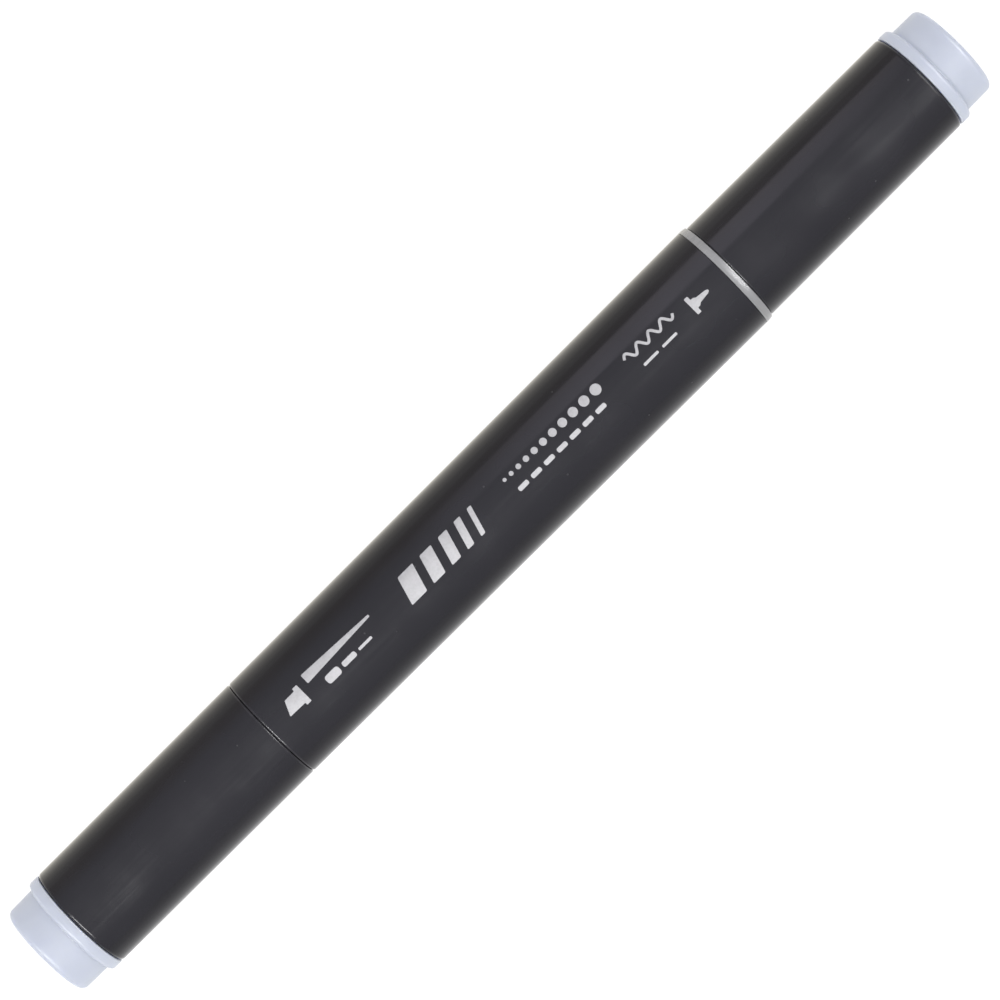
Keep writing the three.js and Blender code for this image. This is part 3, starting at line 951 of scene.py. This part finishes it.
def inner_cap(end, look):
    """The cup that closes on the nose's seal land and keeps the nib from drying out."""
    flange = CAP_UPPER_BORE - FIT_GAP
    seal = SEAL_RADIUS + FIT_GAP
    seal_outside = seal + CUP_SEAL_WALL
    inside = CUP_END - CUP_TOP
    piece = turned(
        f"{end}_seal_cup",
        at_end(
            end,
            [
                (seal, CUP_START, LEAD_IN),
                (flange, CUP_START, FINE_EDGE),
                (flange, CUP_START + CUP_FLANGE, FINE_EDGE),
                (seal_outside, CUP_START + CUP_FLANGE, FINE_EDGE),
                (seal_outside, CUP_TAPER_START, BROAD_EDGE),
                (CUP_RADIUS, CUP_TAPER_END, CUP_CORNER),
                (CUP_RADIUS, CUP_END, CUP_ROUNDING),
                (0, CUP_END, 0),
                (0, inside, 0),
                (CUP_BORE, inside, CUP_CORNER),
                (CUP_BORE, CUP_TAPER_END + CUP_TAPER_LAG, CUP_CORNER),
                (seal, CUP_TAPER_START + CUP_TAPER_LAG, BROAD_EDGE),
            ],
        ),
    )
    dress(piece, f"{end}_cap", look, f"{end}_inner_cap")


def cap_plug(end, look):
    """Skirt, flange and hollow head, with the small dimple that the moulding gate leaves."""
    skirt = CAP_UPPER_BORE - FIT_GAP
    cavity = CUP_RADIUS + PLUG_GAP
    inside = OUT_END - PLUG_TOP
    dimple = OUT_END - DIMPLE_DEPTH
    piece = turned(
        f"{end}_end_plug",
        at_end(
            end,
            [
                (cavity, OUT_SKIRT, FINE_EDGE),
                (skirt, OUT_SKIRT, LEAD_IN),
                (skirt, OUT_FLANGE, CLOSE_EDGE),
                (FLANGE_RADIUS, OUT_FLANGE, EDGE),
                (FLANGE_RADIUS, OUT_HEAD, FLANGE_ROUNDING),
                (HEAD_RADIUS_FOOT, OUT_HEAD, HEAD_FOOT_ROUNDING),
                (HEAD_RADIUS_END, OUT_END, HEAD_ROUNDING),
                (DIMPLE_RADIUS, OUT_END, FINE_EDGE),
                (DIMPLE_RADIUS - DIMPLE_SLOPE, dimple, FINE_EDGE),
                (0, dimple, 0),
                (0, inside, 0),
                (cavity, inside, PLUG_CORNER),
            ],
        ),
    )
    dress(piece, f"{end}_cap", look, f"{end}_cap_plug")


# ---- Stage: floor, light and camera ----
def floor():
    """A white table that glows, as an overexposed one does, and falls off to pale grey further out.
    What the gloss of the marker mirrors of it is brightest close by and warmer on the far side."""
    lowest = (AXIS_HEIGHT - BARREL_RADIUS_FINE) * MM  # the round ring dips just below its flat facets
    bpy.ops.mesh.primitive_plane_add(size=30, location=(0, 0, lowest))
    plane = bpy.context.object
    plane.name = "floor"
    look = Look("white_floor", Roughness=0.9, Specular_IOR_Level=0.1)
    look.color(look.ramp(look.noise(3, 2), (0.3, (0.11, 0.11, 0.11)), (0.7, (0.13, 0.13, 0.13))))
    sideways = look.along(look.place, (0, 1, 0))
    distance = look.nodes.new("ShaderNodeVectorMath")
    distance.operation = "LENGTH"
    look.links.new(look.place, distance.inputs[0])
    fade_start, fade_end = 0.1, 0.6
    fade = look.spread(distance.outputs["Value"], 0, 1, fade_start, fade_end)
    glow = look.mix(fade, (0.94, 0.94, 0.94), (0.7, 0.7, 0.7))
    near, middle, far = 0.95, 0.5, 0.34
    reach = look.spread(look.math("ABSOLUTE", sideways), 0, 1, 0, 0.05)
    mirrored = look.ramp(
        reach,
        (0.12, (near,) * 3),
        (0.56, (middle,) * 3),
        (0.86, (middle - 0.05,) * 3),
        (0.98, (far,) * 3),
    )
    tint = look.mix(look.spread(sideways, 0, 1, -0.01, 0.01), (1.0, 1.0, 0.99), (1.27, 1.22, 1.08))
    mirrored = look.mix(1.0, mirrored, tint, blend="MULTIPLY")
    in_gloss = look.nodes.new("ShaderNodeLightPath").outputs["Is Glossy Ray"]
    look.links.new(look.mix(in_gloss, glow, mirrored), look.shader.inputs["Emission Color"])
    look.shader.inputs["Emission Strength"].default_value = 1.0
    plane.data.materials.append(look.material)


def room_light():
    """Light from all round. It is brightest overhead, a little to the near side, and is warm at the
    far horizon."""
    zenith, horizon = 0.95, 0.52
    world = bpy.data.worlds.new("room")
    world.use_nodes = True
    web = NodeWeb(world.node_tree)
    direction = web.nodes.new("ShaderNodeTexCoord").outputs["Generated"]
    brightest = (0, -0.2, 0.98)
    height = web.spread(web.along(direction, brightest), horizon, zenith, 0, 1)
    cool, warm = (0.965, 0.965, 1.05), (0.95, 0.88, 0.80)
    background = web.nodes["Background"]
    tint = web.ramp(web.along(direction, (0, 1, 0)), (0.8, cool), (1.0, warm))
    web.links.new(tint, background.inputs["Color"])
    web.links.new(height, background.inputs["Strength"])
    bpy.context.scene.world = world


def panel(name, place, look_at, width, height, radiance, color=(1, 1, 1)):
    """A soft rectangular light that the camera can't see, of a given brightness."""
    data = bpy.data.lights.new(name, "AREA")
    data.shape = "RECTANGLE"
    data.size = width
    data.size_y = height
    data.energy = radiance * math.pi * width * height
    data.color = color
    light = bpy.data.objects.new(name, data)
    bpy.context.collection.objects.link(light)
    light.location = place
    light.rotation_euler = (Vector(look_at) - Vector(place)).to_track_quat("-Z", "Y").to_euler()
    light.visible_camera = False
    return light


def side_panels():
    """A tall soft box beyond the far side. Strips at its edges let its light fade out."""
    away, middle, tall, bright = 0.45, 0.41, 0.5, 0.75
    core_start, core_end, strip_width, strips = 0.035, 0.115, 0.012, 4
    tint = (1.0, 0.93, 1.06)

    def upright(name, start, width, radiance):
        place = (start + width / 2, away, middle)
        panel(name, place, (place[0], 0, middle), width, tall, radiance, tint)

    upright("side_box", core_start, core_end - core_start, bright)
    for strip in range(strips):
        share = (strips - strip) / (strips + 1)
        upright(f"side_left_{strip}", core_start - strip_width * (strip + 1), strip_width, bright * share)
        upright(f"side_right_{strip}", core_end + strip_width * strip, strip_width, bright * share)


def end_panels():
    """A wide soft box past either end. The part that only gloss mirrors draws the thin lights along
    the rims, the ring and the edges of the end plugs."""
    width, height = 0.72, 0.22
    for name, side, soft, glint in (("chisel", -1, 4.0, 100), ("fine", 1, 1.7, 104)):
        place = (0.52 * side, -0.175, 0.62)
        panel(f"{name}_box", place, (0, 0, 0), width, height, soft)
        panel(f"{name}_glint", place, (0, 0, 0), width, height, glint).visible_diffuse = False


def camera():
    """Looks down with hardly any tilt, with the marker across the picture's diagonal."""
    distance = 0.52
    width_at_axis = 0.11704
    sensor = 36
    data = bpy.data.cameras.new("camera")
    data.sensor_width = sensor
    data.lens = sensor * distance / width_at_axis
    view = bpy.data.objects.new("camera", data)
    bpy.context.collection.objects.link(view)
    target = Vector((-0.00003, -0.00002, AXIS_HEIGHT * MM))  # what the picture's middle shows
    foot = Vector((-0.0031, 0, 0))  # what the camera stands over
    view.location = foot + Vector((0, 0, AXIS_HEIGHT * MM + distance))
    roll = math.radians(44.89)
    view.rotation_euler = (0, 0, -roll)
    tilt = Vector((0, 0, -1)).rotation_difference((target - view.location).normalized())
    view.rotation_euler = (tilt @ view.rotation_euler.to_quaternion()).to_euler()
    bpy.context.scene.camera = view


def build():
    """Makes every piece, then the stage."""
    black = black_plastic()
    grey = grey_plastic()
    tint = tinted_plastic()
    natural = natural_plastic()
    nib = felt("inked_felt", (0.27, 0.33, 0.46), (0.46, 0.52, 0.63))
    fibre = felt("inked_fibre", (0.34, 0.40, 0.53), (0.54, 0.59, 0.69))
    barrel(black)
    barrel_print(print_ink())
    reservoir(fibre, clear_film())
    chisel_section(grey)
    chisel_nib(nib)
    fine_section(grey)
    fine_nib(nib)
    for end in ("chisel", "fine"):
        cap_shell(end, black)
        inner_cap(end, natural)
        cap_plug(end, tint)
    floor()
    room_light()
    side_panels()
    end_panels()
    camera()
    bpy.context.scene.view_settings.view_transform = "Standard"


build()
